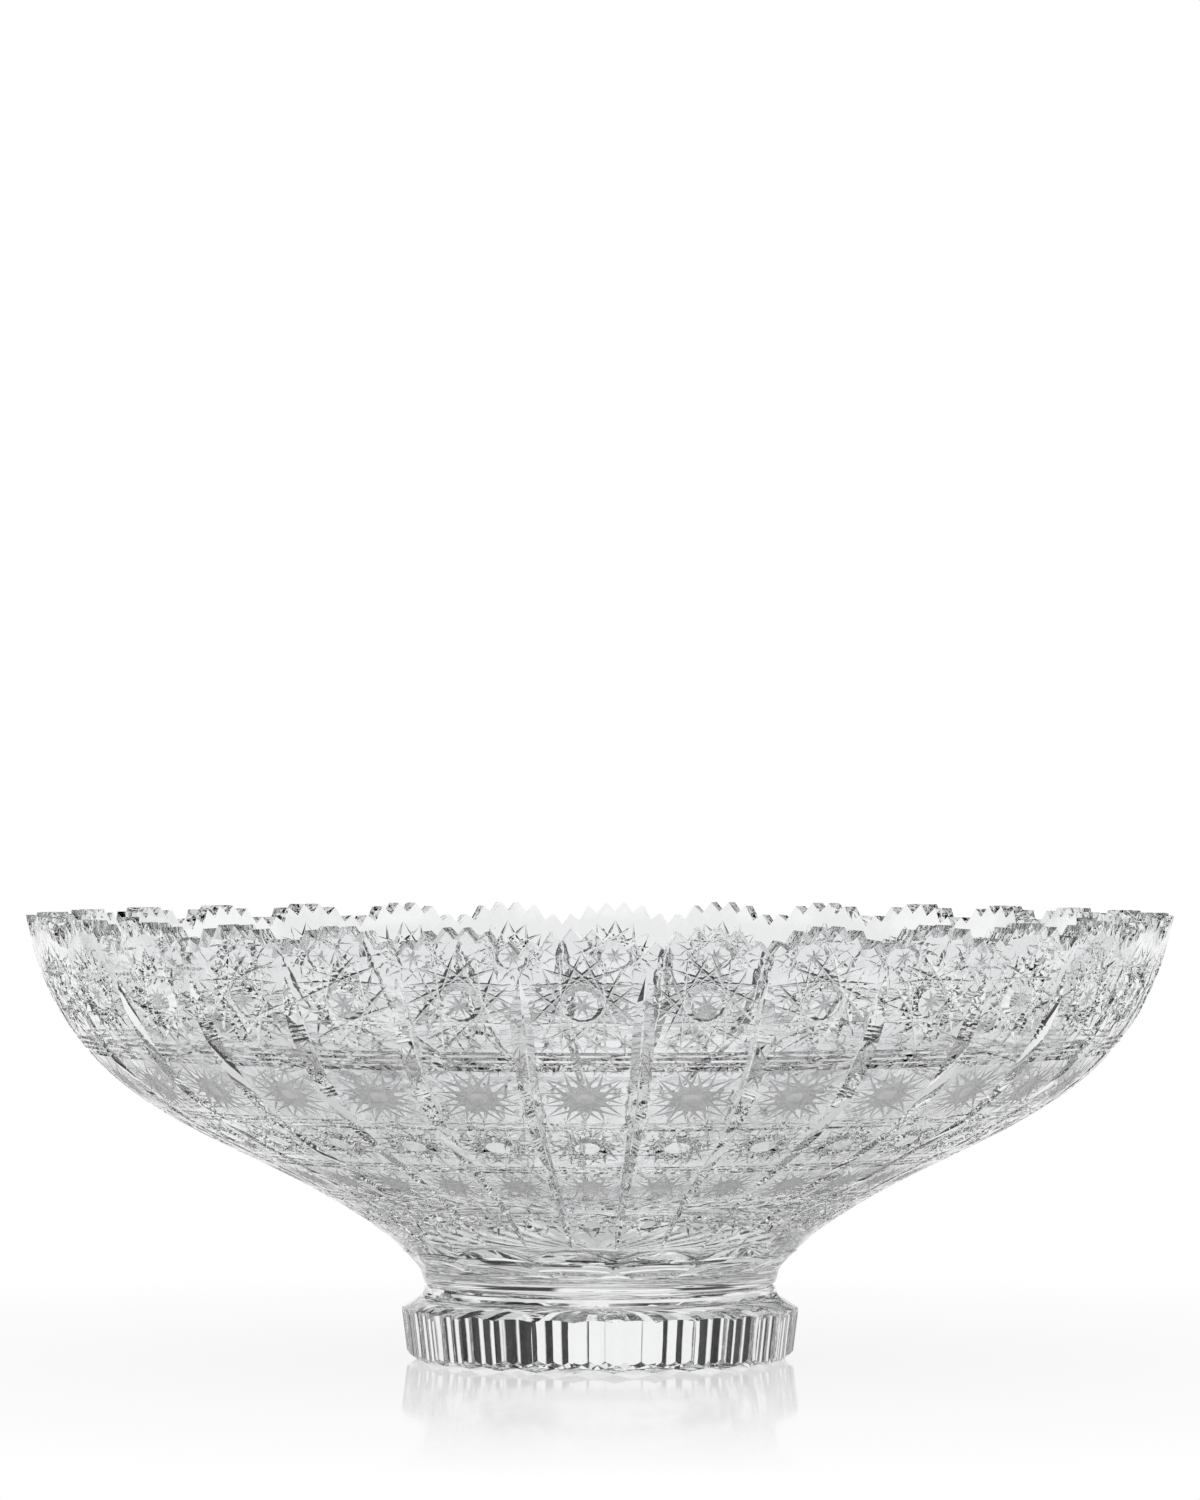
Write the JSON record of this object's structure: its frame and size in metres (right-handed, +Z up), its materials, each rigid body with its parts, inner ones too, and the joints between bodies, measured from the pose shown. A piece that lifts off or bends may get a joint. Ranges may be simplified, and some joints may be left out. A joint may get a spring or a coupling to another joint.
{
  "type": "punch bowl",
  "caption": "Wide, shallow cut-crystal punch bowl with a toothed, scalloped rim, cut panels down its side, and a low fluted disc foot bonded on at the waist.",
  "frame": {"origin": "centre of the face that the foot stands on", "axes": "+Z up along the bowl's own axis; ridges of the foot lie in the YZ plane, and flute middles in the XZ plane"},
  "size_m": [0.3559, 0.356, 0.138],
  "materials": {
    "bowl_crystal": "clear lead crystal, polished, with fine satin cuts",
    "bond_adhesive": "clear UV-cured adhesive",
    "foot_crystal": "clear lead crystal, polished"
  },
  "bodies": {
    "root": {"bowl": "bowl_crystal", "bond_film": "bond_adhesive", "foot": "foot_crystal"}
  },
  "joints": []
}
